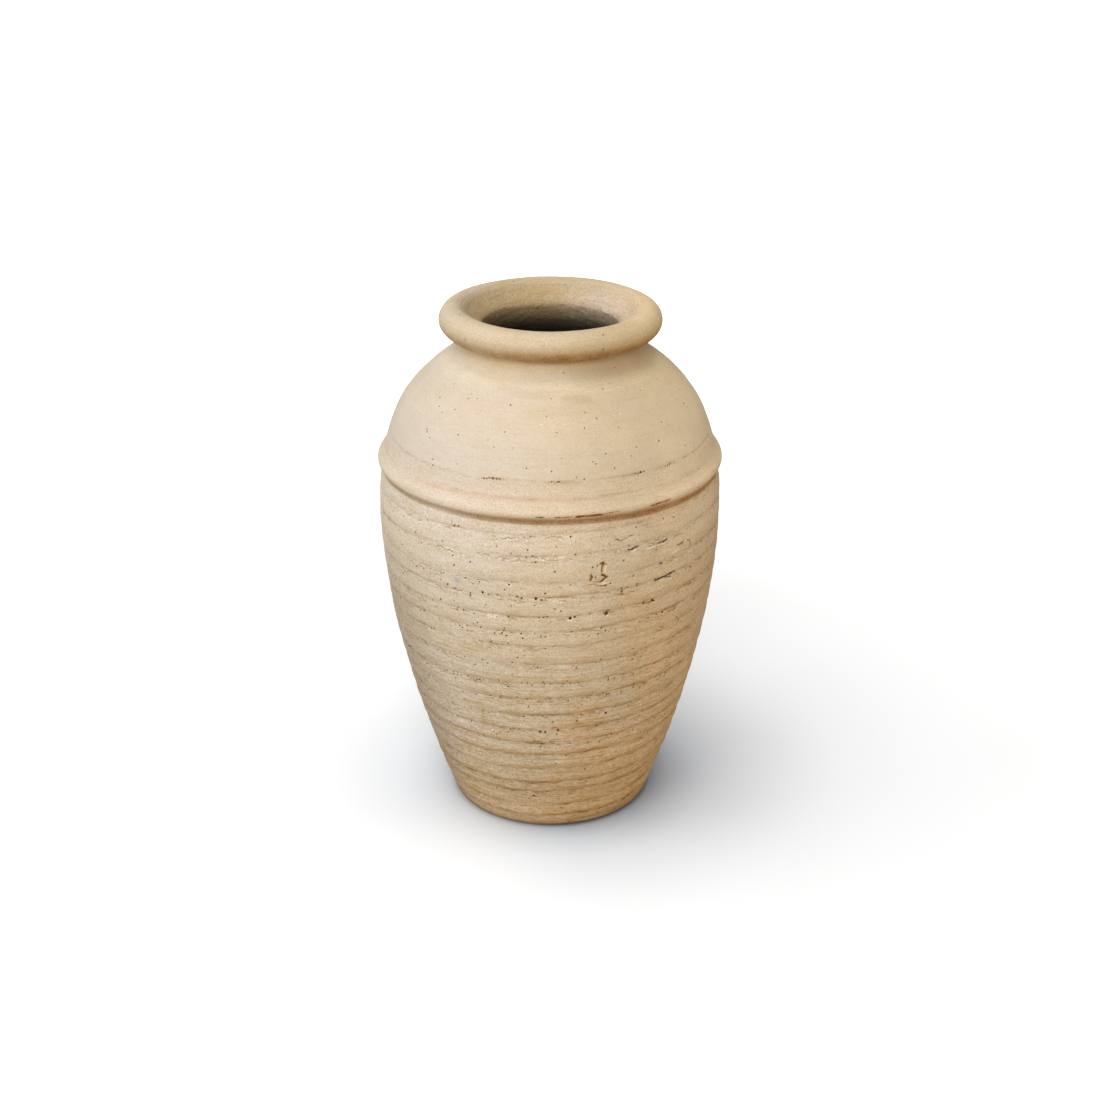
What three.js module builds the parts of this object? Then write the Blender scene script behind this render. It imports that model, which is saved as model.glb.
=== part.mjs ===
// A hand-thrown terracotta vase, built up the way a potter builds a jar of this size: a floor slab,
// a ribbed lower wall raised on it, a smooth shoulder set on that wall, a belt pressed round the
// joint, a neck collar luted to the shoulder and a thick roll laid on the neck as the lip.
// Millimetres and degrees. Every section is drawn in one plane: x is the radius, y is the height.

import * as THREE from "three";

// Floor and foot.
const FOOT_RADIUS = 76.9; // outside of the wall, run down to the table
const FOOT_EDGE = 4.4; // rounding under the foot
const FOOT_FLARE = 19; // lean of the wall from upright at the foot
const FLOOR_THICKNESS = 12;
const FLOOR_COVE = 14; // rounding between the floor and the inside of the wall

// Lower wall.
const WALL = 9.5;
const BELLY_HEIGHT = 240; // the widest point above the table
const BELLY_RADIUS = 129.7;
const SEAT_RISE = 38; // from the widest point up to the ledge that carries the belt
const SEAT_INSET = 3; // how far the wall has drawn in there

// Throwing rib: one groove that the fingertips leave as they climb the turning wall.
const RIB_PITCH = 14.2;
const RIB_DEPTH = 1;
const RIB_SHARPNESS = 1.6; // above 1 the ridges are broad and the groove between them narrow
const RIB_FADE = 9; // the groove runs out over this height at both ends
const RIB_START = 12.5; // height of one of its turns at the front of the vase

// Belt: a coil pressed over the joint, beaded below and smoothed upwards into the shoulder.
const BELT_HEIGHT = 28;
const BELT_TAPER = 5.9; // how far the wall behind the belt draws in over that height
const BELT_SEAT_DEPTH = 3.6; // how far the belt lies in the wall behind it
const BELT_CLEARANCE = 0.3;
const BEAD_RADIUS = 5.4;
const BEAD_REACH = 3.5; // how far the bead stands out past the wall below it
const BEAD_LEAN = 42; // lean of the bead from upright where its round runs out above
const BELT_TOP_LEAN = 14;
const JOINT_RISE = 14; // from the ledge up to the joint that the belt hides

// Shoulder.
const DOME_RISE = 51;
const DOME_LEAN = 24; // lean of the shoulder from upright at the belt
const NECK_FOOT_LEAN = 53; // and where it meets the neck

// Neck.
const NECK_RISE = 27;
const NECK_RADIUS = 60.9;
const NECK_SPREAD = 22.7; // how far the neck spreads out at its foot

// Rim roll.
const RIM_ROLL_RADIUS = 11;
const RIM_OVERHANG = 21.7; // how far the roll stands out past the neck
const RIM_ROLL_RISE = 5; // from the neck's top up to the middle of the roll
const LIP_TURN = 141; // how far round the roll its inner side runs into the funnel

// Shape of the curves, as shares of the height or width that each one spans.
const FOOT_HANDLE = 0.125;
const BELLY_HANDLE = 0.44;
const SEAT_HANDLE = 0.36;
const COVE_FOOT_HANDLE = 0.25;
const COVE_TOP_HANDLE = 0.4;
const DOME_HANDLE = 0.09;
const SHOULDER_HANDLE = 0.74;
const NECK_FOOT_HANDLE = 0.63;
const NECK_TOP_HANDLE = 0.42;
const FUNNEL_HANDLE = 0.4;
const THROAT_HANDLE = 0.15;

// Fineness of the faceting.
const TURN_SEGMENTS = 44;
const ROWS_PER_RIB = 4;
const CURVE_STEPS = 60;

// Heights of the joints, each standing on the one below.
const seatHeight = BELLY_HEIGHT + SEAT_RISE;
const jointHeight = seatHeight + JOINT_RISE;
const beltTop = seatHeight + BELT_HEIGHT;
const neckFoot = beltTop + DOME_RISE;
const neckTop = neckFoot + NECK_RISE;

// Radii of the outside there.
const seatRadius = BELLY_RADIUS - SEAT_INSET;
const beltTopRadius = seatRadius - BELT_TAPER;
const neckFootRadius = NECK_RADIUS + NECK_SPREAD;
const rimCentre = new THREE.Vector2(
  NECK_RADIUS + RIM_OVERHANG - RIM_ROLL_RADIUS,
  neckTop + RIM_ROLL_RISE,
);

const point = (radius, height) => new THREE.Vector2(radius, height);

// A unit vector that climbs and leans towards the axis by this angle from upright.
function leaning(degrees) {
  const angle = THREE.MathUtils.degToRad(degrees);
  return point(-Math.sin(angle), Math.cos(angle));
}

// The outside of the bare wall from the table to the neck's top, without rib, belt or roll.
function outsideLine() {
  const foot = point(FOOT_RADIUS, 0);
  const belly = point(BELLY_RADIUS, BELLY_HEIGHT);
  const seat = point(seatRadius, seatHeight);
  const top = point(beltTopRadius, beltTop);
  const underBelt = top.clone().sub(seat).normalize();
  const bend = point(neckFootRadius, neckFoot);
  const collar = point(NECK_RADIUS, neckTop);
  const curves = [
    new THREE.CubicBezierCurve(
      foot,
      foot.clone().addScaledVector(leaning(-FOOT_FLARE), FOOT_HANDLE * BELLY_HEIGHT),
      belly.clone().addScaledVector(leaning(0), -BELLY_HANDLE * BELLY_HEIGHT),
      belly,
    ),
    new THREE.CubicBezierCurve(
      belly,
      belly.clone().addScaledVector(leaning(0), SEAT_HANDLE * SEAT_RISE),
      seat.clone().addScaledVector(underBelt, -SEAT_HANDLE * SEAT_RISE),
      seat,
    ),
    new THREE.LineCurve(seat, top),
    new THREE.CubicBezierCurve(
      top,
      top.clone().addScaledVector(leaning(DOME_LEAN), DOME_HANDLE * DOME_RISE),
      bend.clone().addScaledVector(leaning(NECK_FOOT_LEAN), -SHOULDER_HANDLE * DOME_RISE),
      bend,
    ),
    new THREE.CubicBezierCurve(
      bend,
      bend.clone().addScaledVector(leaning(NECK_FOOT_LEAN), NECK_FOOT_HANDLE * NECK_RISE),
      collar.clone().addScaledVector(leaning(0), -NECK_TOP_HANDLE * NECK_RISE),
      collar,
    ),
  ];
  return curves.flatMap((curve, i) => curve.getPoints(CURVE_STEPS).slice(i ? 1 : 0));
}

// The line that lies one wall thickness inside another.
function insideOf(line) {
  return line.map((here, i) => {
    const along = line[Math.min(i + 1, line.length - 1)].clone().sub(line[Math.max(i - 1, 0)]).normalize();
    return point(here.x - along.y * WALL, here.y + along.x * WALL);
  });
}

// Radius of a rising line at a height.
function radiusAt(line, height) {
  const above = line.findIndex((p) => p.y >= height);
  if (above < 1) return (above ? line[line.length - 1] : line[0]).x;
  const [low, high] = [line[above - 1], line[above]];
  return THREE.MathUtils.mapLinear(height, low.y, high.y, low.x, high.x);
}

// Points of a line at evenly spaced heights, both ends included.
function rows(line, from, to, count) {
  return Array.from({ length: count + 1 }, (_, i) => {
    const height = i === count ? to : from + ((to - from) * i) / count;
    return point(radiusAt(line, height), height);
  });
}

// Points of an arc, both ends included, in degrees from the outward direction.
function arc(centre, radius, from, to, count) {
  return Array.from({ length: count + 1 }, (_, i) => {
    const angle = THREE.MathUtils.degToRad(from + ((to - from) * i) / count);
    return point(centre.x + radius * Math.cos(angle), centre.y + radius * Math.sin(angle));
  });
}

const outside = outsideLine();
const inside = insideOf(outside);

// The wall behind the belt is cut back by the belt's depth.
const rebate = (height, clearance = 0) =>
  point(radiusAt(outside, height) - BELT_SEAT_DEPTH + clearance, height);

// A closed section turned round the axis. Sections run up the outside and down the inside.
function turned(section, closed = true) {
  return new THREE.LatheGeometry(closed ? [...section, section[0]] : section, TURN_SEGMENTS);
}

function floorSlab() {
  const edge = point(radiusAt(outside, FOOT_EDGE) - FOOT_EDGE, FOOT_EDGE);
  const section = [
    point(0, 0),
    ...arc(edge, FOOT_EDGE, -90, 0, 4),
    ...rows(outside, FOOT_EDGE, FLOOR_THICKNESS, 2).slice(1),
    point(0, FLOOR_THICKNESS),
  ];
  return turned(section, false);
}

// Faces of which two corners have come together are left out.
function leaveOutCollapsed(geometry) {
  const corner = (i) => new THREE.Vector3().fromBufferAttribute(geometry.attributes.position, i);
  const kept = [];
  for (let i = 0; i < geometry.index.count; i += 3) {
    const face = [0, 1, 2].map((k) => geometry.index.getX(i + k));
    const [a, b, c] = face.map(corner);
    if (!a.equals(b) && !b.equals(c) && !c.equals(a)) kept.push(...face);
  }
  geometry.setIndex(kept);
}

// Depth of the throwing groove, for a place given in turns of the groove and for its height.
function ribDepth(turns, height) {
  const fade =
    THREE.MathUtils.smoothstep(height, FLOOR_THICKNESS, FLOOR_THICKNESS + RIB_FADE) *
    (1 - THREE.MathUtils.smoothstep(height, seatHeight - RIB_FADE, seatHeight));
  return RIB_DEPTH * fade * ((1 + Math.cos(2 * Math.PI * turns)) / 2) ** RIB_SHARPNESS;
}

// The rows of the outer face climb one pitch each turn, so each keeps its own place on the rib. Where
// a row would leave the wall, it lies along the wall's lower or upper edge instead.
function lowerWall() {
  const lead = 1 + Math.ceil((RIB_START - FLOOR_THICKNESS) / RIB_PITCH);
  const turnsInAll = lead + Math.ceil((seatHeight - RIB_START) / RIB_PITCH);
  const coveTop = FLOOR_THICKNESS + FLOOR_COVE;
  const coveCentre = point(radiusAt(inside, coveTop) - FLOOR_COVE, coveTop);
  const outer = rows(outside, FLOOR_THICKNESS, seatHeight, turnsInAll * ROWS_PER_RIB);
  const section = [
    ...outer,
    ...[seatHeight, jointHeight].map((height) => rebate(height)),
    ...rows(inside, coveTop, jointHeight, 6).reverse(),
    ...arc(coveCentre, FLOOR_COVE, 0, -90, 3).slice(1),
  ];
  const geometry = turned(section);
  const place = geometry.attributes.position;
  const perColumn = section.length + 1;
  for (let i = 0; i < place.count; i += 1) {
    const row = (i % perColumn) % section.length;
    if (row >= outer.length) continue;
    const column = Math.floor(i / perColumn);
    const turns = (row + (column * ROWS_PER_RIB) / TURN_SEGMENTS) / ROWS_PER_RIB - lead;
    const height = THREE.MathUtils.clamp(RIB_START + turns * RIB_PITCH, FLOOR_THICKNESS, seatHeight);
    const radius = radiusAt(outside, height) - ribDepth(row / ROWS_PER_RIB, height);
    const angle = (2 * Math.PI * column) / TURN_SEGMENTS;
    place.setXYZ(i, radius * Math.sin(angle), height, radius * Math.cos(angle));
  }
  leaveOutCollapsed(geometry);
  geometry.computeVertexNormals();
  return geometry;
}

function beltCoil() {
  const bead = point(seatRadius + BEAD_REACH - BEAD_RADIUS, seatHeight + BEAD_RADIUS);
  const creaseAngle = -90 + THREE.MathUtils.radToDeg(Math.asin((seatRadius - bead.x) / BEAD_RADIUS));
  const round = arc(bead, BEAD_RADIUS, creaseAngle, BEAD_LEAN, 6);
  const brow = round[round.length - 1];
  const top = point(beltTopRadius, beltTop);
  const span = top.y - brow.y;
  const cove = new THREE.CubicBezierCurve(
    brow,
    brow.clone().addScaledVector(leaning(BEAD_LEAN), COVE_FOOT_HANDLE * span),
    top.clone().addScaledVector(leaning(BELT_TOP_LEAN), -COVE_TOP_HANDLE * span),
    top,
  );
  const section = [
    point(seatRadius, seatHeight),
    ...round,
    ...cove.getPoints(5).slice(1),
    rebate(beltTop, BELT_CLEARANCE),
    rebate(jointHeight, BELT_CLEARANCE),
    rebate(seatHeight, BELT_CLEARANCE),
  ];
  return turned(section);
}

function shoulderDome() {
  const section = [
    rebate(jointHeight),
    rebate(beltTop),
    ...rows(outside, beltTop, neckFoot, 10),
    ...rows(inside, jointHeight, neckFoot, 7).reverse(),
  ];
  return turned(section);
}

function neckCollar() {
  const section = [
    ...rows(outside, neckFoot, neckTop, 7),
    ...rows(inside, neckFoot, neckTop, 4).reverse(),
  ];
  return turned(section);
}

function rimRoll() {
  const drop = Math.asin(RIM_ROLL_RISE / RIM_ROLL_RADIUS);
  const creaseAngle = -180 + THREE.MathUtils.radToDeg(drop);
  const overCrest = arc(rimCentre, RIM_ROLL_RADIUS, 90, LIP_TURN, 3);
  const brim = overCrest[overCrest.length - 1];
  const throat = point(radiusAt(inside, neckTop), neckTop);
  const slope = brim.distanceTo(throat);
  const funnel = new THREE.CubicBezierCurve(
    brim,
    brim.clone().addScaledVector(leaning(LIP_TURN), FUNNEL_HANDLE * slope),
    throat.clone().add(point(0, THROAT_HANDLE * slope)),
    throat,
  );
  const section = [
    ...arc(rimCentre, RIM_ROLL_RADIUS, creaseAngle, 90, 12),
    ...overCrest.slice(1),
    ...funnel.getPoints(4).slice(1),
  ];
  return turned(section);
}

// Bare fired clay, paler and smoother towards the top, where the potter wiped the ribs away.
function clay(color, roughness) {
  return new THREE.MeshStandardMaterial({ color, roughness, metalness: 0 });
}

const vase = new THREE.Group();
vase.name = "clay_vase";
const pieces = [
  ["floor_slab", floorSlab(), clay(0xb8966c, 0.95)],
  ["lower_wall", lowerWall(), clay(0xc4ad8d, 0.95)],
  ["belt_coil", beltCoil(), clay(0xe0c9ab, 0.9)],
  ["shoulder_dome", shoulderDome(), clay(0xe2ceb2, 0.85)],
  ["neck_collar", neckCollar(), clay(0xd6c0a0, 0.85)],
  ["rim_roll", rimRoll(), clay(0xdbc3a1, 0.85)],
];
for (const [name, geometry, material] of pieces) {
  const mesh = new THREE.Mesh(geometry, material);
  mesh.name = name;
  vase.add(mesh);
}
// The sections turn about +Y, and the vase stands on the table with +Z up and its front to -Y.
vase.rotation.x = Math.PI / 2;

export default vase;
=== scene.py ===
"""Looks of the hand-thrown clay vase: bare pale terracotta with throwing grooves, pits and kiln stains.

One turned surface runs from the foot over the lip and down the inside. It is displaced as a whole and then cut at the
joints, so the pieces meet without a seam. Millimetres while the surface is drawn, metres in the meshes.
"""

import math

import bpy
import numpy as np
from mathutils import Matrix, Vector


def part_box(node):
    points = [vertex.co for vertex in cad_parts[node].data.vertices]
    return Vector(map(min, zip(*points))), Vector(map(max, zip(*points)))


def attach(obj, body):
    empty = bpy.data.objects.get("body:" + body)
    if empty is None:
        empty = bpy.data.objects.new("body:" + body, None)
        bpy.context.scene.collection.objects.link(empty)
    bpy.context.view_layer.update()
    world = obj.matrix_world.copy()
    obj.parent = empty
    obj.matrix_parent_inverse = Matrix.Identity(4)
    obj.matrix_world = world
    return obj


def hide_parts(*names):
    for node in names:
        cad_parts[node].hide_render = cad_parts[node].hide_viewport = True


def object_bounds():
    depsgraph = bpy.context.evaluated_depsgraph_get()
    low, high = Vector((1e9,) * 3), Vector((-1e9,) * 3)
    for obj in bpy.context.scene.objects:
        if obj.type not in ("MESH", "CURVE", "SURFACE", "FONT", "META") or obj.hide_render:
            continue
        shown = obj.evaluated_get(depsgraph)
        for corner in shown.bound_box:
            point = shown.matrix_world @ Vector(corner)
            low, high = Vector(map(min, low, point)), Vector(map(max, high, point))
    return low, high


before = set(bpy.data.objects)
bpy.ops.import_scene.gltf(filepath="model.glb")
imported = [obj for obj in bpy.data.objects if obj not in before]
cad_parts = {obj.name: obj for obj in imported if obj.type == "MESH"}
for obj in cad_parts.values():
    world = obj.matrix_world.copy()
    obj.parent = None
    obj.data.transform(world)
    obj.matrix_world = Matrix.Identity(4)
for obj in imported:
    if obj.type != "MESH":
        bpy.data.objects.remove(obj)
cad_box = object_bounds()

MM = 0.001

# Camera of the photograph.
CAMERA_ELEVATION = 23.645
CAMERA_DISTANCE = 1.4738
CAMERA_TARGET = Vector((0, 0, 0.2013))
CAMERA_LENS = 62.11
SENSOR_WIDTH = 36

# Fineness of the surface: columns round it, height of a row outside, and how many times that inside.
COLUMNS = 720
ROW = 0.9
INNER_STEP = 3

# Heights of the joints and widest radii, from the CAD.
floor_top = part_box("floor_slab")[1].z / MM
seat_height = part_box("belt_coil")[0].z / MM
joint_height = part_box("shoulder_dome")[0].z / MM
belt_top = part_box("belt_coil")[1].z / MM
neck_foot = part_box("neck_collar")[0].z / MM
neck_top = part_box("neck_collar")[1].z / MM
vase_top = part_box("rim_roll")[1].z / MM
belly_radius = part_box("lower_wall")[1].x / MM
belt_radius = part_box("belt_coil")[1].x / MM
belt_top_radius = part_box("shoulder_dome")[1].x / MM
neck_foot_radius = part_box("neck_collar")[1].x / MM
rim_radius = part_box("rim_roll")[1].x / MM

# Turned outline: radii and heights, and leans inwards from upright in degrees.
FOOT_RADIUS = 76.9
FOOT_EDGE = 4.4
FOOT_FLARE = 19
FLOOR_COVE = 14
FLOOR_MIDDLE = 2.0
WALL = 9.5
BELLY_HEIGHT = 240
SEAT_INSET = 3
BELT_SEAT_DEPTH = 3.6
BELT_CLEARANCE = 0.3
BEAD_RADIUS = 5.4
BEAD_LEAN = 42
BELT_TOP_LEAN = 14
DOME_LEAN = 24
NECK_FOOT_LEAN = 53
NECK_SPREAD = 22.7
NECK_TUCK = 3
RIM_ROLL_RADIUS = 11
LIP_TURN = 141
seat_radius = belly_radius - SEAT_INSET
neck_radius = neck_foot_radius - NECK_SPREAD
rim_centre = np.array((rim_radius - RIM_ROLL_RADIUS, vase_top - RIM_ROLL_RADIUS))

# Handles at the start and end of each curve of the outline, as shares of its rise.
FOOT_HANDLES = (0.125, 0.44)
SEAT_HANDLES = (0.36, 0.36)
DOME_HANDLES = (0.09, 0.74)
NECK_HANDLES = (0.63, 0.42)
BELT_HANDLES = (0.25, 0.4)
FUNNEL_HANDLES = (0.4, 0.15)

rng = np.random.default_rng(40726)


def leaning(degrees):
    """The way up, leaning inwards by so many degrees."""
    return np.array((-math.sin(math.radians(degrees)), math.cos(math.radians(degrees))))


def curve(start, leaving, end, arriving, length, handles, count=160):
    """A curve that leaves and arrives along the given ways."""
    t = np.linspace(0, 1, count)[:, None]
    first = start + leaving * handles[0] * length
    second = end - arriving * handles[1] * length
    return (1 - t) ** 3 * start + 3 * (1 - t) ** 2 * t * first + 3 * (1 - t) * t * t * second + t**3 * end


def arc(centre, radius, start, end, count=80):
    angle = np.radians(np.linspace(start, end, count))
    return centre + radius * np.stack((np.cos(angle), np.sin(angle)), 1)


def travelled(line):
    """Distances of a line's points from its start, along it."""
    return np.concatenate(([0], np.cumsum(np.linalg.norm(np.diff(line, axis=0), axis=1))))


def resampled(line, step):
    """The line with evenly spaced points, about a step apart."""
    along = travelled(line)
    count = max(2, round(along[-1] / step))
    at = np.linspace(0, along[-1], count + 1)
    return np.stack((np.interp(at, along, line[:, 0]), np.interp(at, along, line[:, 1])), 1)


def outward_from(line):
    """Unit normals of a line, outwards where it runs up."""
    along = np.gradient(line, axis=0)
    along /= np.linalg.norm(along, axis=1)[:, None]
    return np.stack((along[:, 1], -along[:, 0]), 1)


def cut(line, low, high):
    """The part of a rising line between two heights."""
    inside = line[(line[:, 1] > low) & (line[:, 1] < high)]
    ends = [np.array((np.interp(h, line[:, 1], line[:, 0]), h)) for h in (low, high)]
    return np.concatenate((ends[:1], inside, ends[1:]))


def radius_at(line, height):
    return float(np.interp(height, line[:, 1], line[:, 0]))


# The bare wall from the table to the neck's top.
foot = np.array((FOOT_RADIUS, 0.0))
belly = np.array((belly_radius, BELLY_HEIGHT))
seat = np.array((seat_radius, seat_height))
shoulder = np.array((belt_top_radius, belt_top))
bend = np.array((neck_foot_radius, neck_foot))
collar = np.array((neck_radius, neck_top))
upright = leaning(0)
under_belt = (shoulder - seat) / np.linalg.norm(shoulder - seat)
into_neck = leaning(NECK_FOOT_LEAN)
wall_line = np.concatenate(
    (
        curve(foot, leaning(-FOOT_FLARE), belly, upright, BELLY_HEIGHT, FOOT_HANDLES),
        curve(belly, upright, seat, under_belt, seat_height - BELLY_HEIGHT, SEAT_HANDLES)[1:],
        curve(shoulder, leaning(DOME_LEAN), bend, into_neck, neck_foot - belt_top, DOME_HANDLES),
        curve(bend, into_neck, collar, upright, neck_top - neck_foot, NECK_HANDLES)[1:],
    )
)
inner_line = wall_line - WALL * outward_from(wall_line)

# The belt: bead, then a cove up to the scored line.
bead = np.array((belt_radius - BEAD_RADIUS, seat_height + BEAD_RADIUS))
crease = -90 + math.degrees(math.asin((seat_radius - bead[0]) / BEAD_RADIUS))
bead_line = arc(bead, BEAD_RADIUS, crease, BEAD_LEAN)
brow = bead_line[-1]
strip = curve(brow, leaning(BEAD_LEAN), shoulder, leaning(BELT_TOP_LEAN), shoulder[1] - brow[1], BELT_HANDLES)
belt_line = np.concatenate(([seat], bead_line, strip[1:]))

# The lip: a roll from the crease on the neck over its crest, then the funnel into the throat.
drop = math.degrees(math.asin((rim_centre[1] - neck_top) / RIM_ROLL_RADIUS))
roll_line = arc(rim_centre, RIM_ROLL_RADIUS, -180 + drop, LIP_TURN)
brim = roll_line[-1]
throat = np.array((radius_at(inner_line, neck_top), neck_top))
slope = np.linalg.norm(brim - throat)
funnel_line = curve(brim, leaning(LIP_TURN), throat, -upright, slope, FUNNEL_HANDLES)
lip_line = np.concatenate((roll_line, funnel_line[1:]))

# The collar runs into the roll's crease.
neck_line = cut(wall_line, neck_foot, neck_top)
tuck = np.clip((neck_line[:, 1] - neck_top + NECK_TUCK) / NECK_TUCK, 0, 1) ** 2
neck_line[:, 0] += tuck * (lip_line[0, 0] - neck_radius)

# The rounded foot edge, and inside it the cove between wall and floor.
foot_edge = np.array((radius_at(wall_line, FOOT_EDGE) - FOOT_EDGE, FOOT_EDGE))
foot_line = np.concatenate((arc(foot_edge, FOOT_EDGE, -90, 0), cut(wall_line, FOOT_EDGE, floor_top)[1:]))
cove_top = floor_top + FLOOR_COVE
cove = np.array((radius_at(inner_line, cove_top) - FLOOR_COVE, cove_top))
cove_line = arc(cove, FLOOR_COVE, 0, -90)
inner_wall = np.concatenate((cut(inner_line, cove_top, joint_height)[::-1], cove_line[1:]))
inner_floor = np.array((inner_wall[-1], (FLOOR_MIDDLE, floor_top)))

RUNS = (
    ("foot", foot_line, 1),
    ("wall", cut(wall_line, floor_top, seat_height), 1),
    ("belt", belt_line, 1),
    ("dome", cut(wall_line, belt_top, neck_foot), 1),
    ("neck", neck_line, 1),
    ("lip", lip_line, 1),
    ("inner_neck", cut(inner_line, neck_foot, neck_top)[::-1], 1),
    ("inner_dome", cut(inner_line, joint_height, neck_foot)[::-1], INNER_STEP),
    ("inner_wall", inner_wall, INNER_STEP),
    ("inner_floor", inner_floor, INNER_STEP),
)

section = []
spans = {}
for name, line, step in RUNS:
    points = resampled(line, ROW * step)
    first = len(section) - 1 if section else 0
    section.extend(points if not section else points[1:])
    spans[name] = (first, len(section) - 1)
section = np.array(section)
outward = outward_from(section)
travel = travelled(section)
height = section[:, 1:]

# Angles round the vase. Turn 0 is the front, and turns run anticlockwise seen from above.
turn = np.arange(COLUMNS) / COLUMNS
phi = 2 * math.pi * turn - math.pi / 2
degrees = np.degrees(phi)
rightward, backward = np.cos(phi), np.sin(phi)
SHAPE = (len(section), COLUMNS)

# Noise: mean girth, spare rows, and how much finer than its features it is filtered.
GIRTH = 690.0
SPARE_ROWS = 40
FILTER = 2.2


def smooth(x, low, high):
    t = np.clip((x - low) / (high - low), 0, 1)
    return t * t * (3 - 2 * t)


def noise(along_mm, across_mm):
    """Smooth noise of unit strength, with features so long round the vase and so high."""
    tall = int(travel[-1] / ROW) + SPARE_ROWS
    spectrum = np.fft.rfft2(rng.standard_normal((tall, COLUMNS)))
    up = np.fft.fftfreq(tall, ROW)[:, None] * across_mm * FILTER
    round_ = np.fft.rfftfreq(COLUMNS, GIRTH / COLUMNS)[None, :] * along_mm * FILTER
    field = np.fft.irfft2(spectrum * np.exp(-0.5 * (up**2 + round_**2)), (tall, COLUMNS))
    field /= field.std()
    at = travel / ROW
    low = at.astype(int)
    share = (at - low)[:, None]
    return field[low] * (1 - share) + field[low + 1] * share


def rows_of(name):
    first, last = spans[name]
    return slice(first, last + 1)


# What each point bears: relief in mm, and how far it is hollow, darkened as dirt and as painted shade, raised, paled
# partly as a painted highlight, stained, pitted, shaded with painted shade, or worn, paled as wear and as a painted
# highlight.
relief, hollow, lip, brown, grey, orange, pitted, smoke, pits, shade, worn_and_highlight = np.zeros((11, *SHAPE))

# Throwing groove of the lower wall: heights and depths where it passes the front, from the foot up.
GROOVE_HEIGHTS = (
    -3, 3.8, 11.2, 22, 38, 47.8, 62.5, 77.2, 90.5, 103.5, 116.8,
    132.5, 147.2, 164, 180.5, 192, 205, 221.1, 232.3, 253.3, 268.5, 290,
)
GROOVE_DEPTHS = (
    0.3, 0.3, 0.7, 0.85, 0.9, 0.9, 0.9, 0.85, 0.8, 0.75, 0.75,
    0.75, 0.6, 0.6, 0.65, 0.6, 0.75, 0.65, 0.6, 0.7, 0.35, 0.2,
)
GROOVE_TILT = 1.3
wall = slice(spans["foot"][0], spans["wall"][1] + 1)
wall_up = height[wall]
turns = np.arange(len(GROOVE_HEIGHTS))
wander = GROOVE_TILT * np.sin(2 * math.pi * turn) + 0.5 * noise(60, 25)[wall] + 0.25 * noise(8, 7)[wall]
level = wall_up - wander
phase = np.interp(level, GROOVE_HEIGHTS, turns) - turn
ridge = np.floor(phase)
above = level - np.interp(ridge + turn, turns, GROOVE_HEIGHTS)
below = np.interp(ridge + 1 + turn, turns, GROOVE_HEIGHTS) - level
share = phase - ridge
strength = np.interp(phase, turns, GROOVE_DEPTHS)
patchy = np.clip(0.8 + 0.3 * noise(45, 9)[wall], 0.2, 1.3)
fade = smooth(wall_up, 0, 14) * (1 - smooth(wall_up, seat_height - 6, seat_height - 1))

# Round ribs low down, and sharper, shallower ones with finer cracks between them higher up.
crisp = smooth(wall_up, 60, 190)
bulge = np.sin(math.pi * share ** (0.8 - 0.2 * crisp))
crack_width = 1.8 - 0.9 * crisp
crack = np.exp(-((above / crack_width) ** 2)) + np.exp(-((below / (crack_width * 0.7)) ** 2))
broken = np.clip(0.5 + 0.45 * noise(16, 3)[wall] + 0.4 * noise(4, 1.5)[wall], 0, 1.6)
relief[wall] += fade * strength * patchy * (0.95 - 0.4 * crisp) * (bulge - 0.6)
relief[wall] -= fade * strength * (0.16 + 0.26 * crisp) * crack * broken
# The cracks are darkened as dirt and as painted shade, the lower flank of each ridge gets painted shade, and each
# ridge top is painted paler, as wear and as a painted highlight.
deepest = np.clip(crack * broken * (0.95 - 0.35 * crisp), 0, 1)
hollow[wall] += fade * deepest * np.clip(patchy, 0.4, 1)
under_ridge = above / ((above + below) * (0.44 - 0.07 * crisp))
shade[wall] += fade * (1.2 - 0.7 * crisp) * patchy * np.exp(-(under_ridge ** (1.2 + 0.3 * crisp)))
worn_and_highlight[wall] += fade * (1 - 0.7 * crisp) * patchy * smooth(bulge, 0.5, 1.0)

# Torn clay in the band below each turn of the groove: a hole above, darkened as dirt and as painted shade, and a
# raised scrap below it.
torn_band = fade * np.exp(-(((below - 2.2) / 3.2) ** 2)) * (0.65 + 0.35 * crisp)
scraps = np.clip(noise(5.5, 1.0)[wall] - 0.7, 0, 1.2) * torn_band
relief[wall] += 0.22 * scraps
relief[wall] -= 0.3 * np.roll(scraps, 1, axis=0)
hollow[wall] += 0.4 * np.roll(scraps, 2, axis=0)
pitted[wall] += np.clip(torn_band + fade * 0.5 * np.exp(-above / 1.5), 0, 1)

# How rough each part was left: the wiped shoulder least, the inside most.
ROUGH = {
    "foot": 0.9, "wall": 1.0, "belt": 0.75, "dome": 0.4, "neck": 0.45,
    "lip": 0.6, "inner_neck": 1.2, "inner_dome": 1.3, "inner_wall": 1.3, "inner_floor": 1.0,
}
rough = np.zeros((len(section), 1))
for name, amount in ROUGH.items():
    rough[rows_of(name)] = amount
funnel = rows_of("lip")
inside_lip = smooth(travel[funnel][:, None], travel[funnel][-1] - 25, travel[funnel][-1] - 14)
rough[funnel] += 0.4 * inside_lip
rough[:, 0] = np.convolve(np.pad(rough[:, 0], 4, mode="edge"), np.ones(9) / 9, "valid")

# Wheel marks all over, and the slow unevenness of a hand-made wall.
relief += rough * (0.028 * noise(55, 1.6) + 0.024 * noise(14, 1.3) + 0.024 * noise(3, 2.0))
relief += 0.08 * noise(120, 9) + 0.1 * noise(60, 30)
relief[wall] += fade * (
    0.045 * noise(26, 1.8)[wall] + 0.035 * noise(5, 2)[wall] + 0.06 * (1.2 - crisp) * noise(9, 1.2)[wall]
)

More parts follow.
